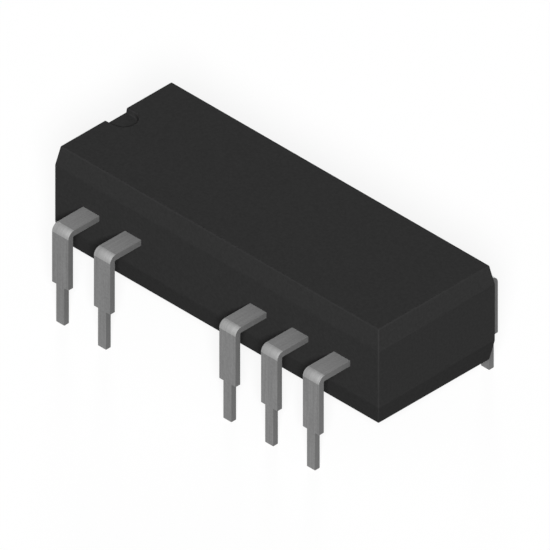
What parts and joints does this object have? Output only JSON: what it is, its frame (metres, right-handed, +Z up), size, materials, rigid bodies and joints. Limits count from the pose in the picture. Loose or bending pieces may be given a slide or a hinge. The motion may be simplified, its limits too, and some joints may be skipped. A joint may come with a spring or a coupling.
{
  "type": "switching controller chip",
  "caption": "Tall black moulded dual in-line chip with an end notch and bent tinned leads, holding a controller die, rectifier dice and a wound core.",
  "frame": {"origin": "centre of the lead pattern, on the face of the board that the lead shoulders sit on", "axes": "+X along the body away from the notch, +Y to the back row of leads, +Z up out of the board"},
  "size_m": [0.0196, 0.0108, 0.0073],
  "materials": {
    "moulding_compound": "fine spark-eroded matte, moulded",
    "tinned_copper": "matte tin plating",
    "silicon": "polished",
    "silver_epoxy": "matte, silver filled",
    "ferrite": "sintered, matte",
    "enamelled_copper": "clear enamel over copper",
    "bedding_adhesive": "matte",
    "gold": "drawn wire"
  },
  "bodies": {
    "root": {"package_body": "moulding_compound", "lead_1": "tinned_copper", "lead_2": "tinned_copper", "lead_5": "tinned_copper", "lead_6": "tinned_copper", "lead_7": "tinned_copper", "lead_8": "tinned_copper", "lead_14": "tinned_copper", "controller_die": "silicon", "controller_attach": "silver_epoxy", "rectifier_die_1": "silicon", "rectifier_die_2": "silicon", "rectifier_attach_1": "silver_epoxy", "rectifier_attach_2": "silver_epoxy", "toroid_core": "ferrite", "primary_winding": "enamelled_copper", "secondary_winding": "enamelled_copper", "core_bed_1": "bedding_adhesive", "core_bed_2": "bedding_adhesive", "bond_wire_1": "gold", "bond_wire_2": "gold", "bond_wire_3": "gold", "bond_wire_4": "gold", "bond_wire_5": "gold"}
  },
  "joints": []
}
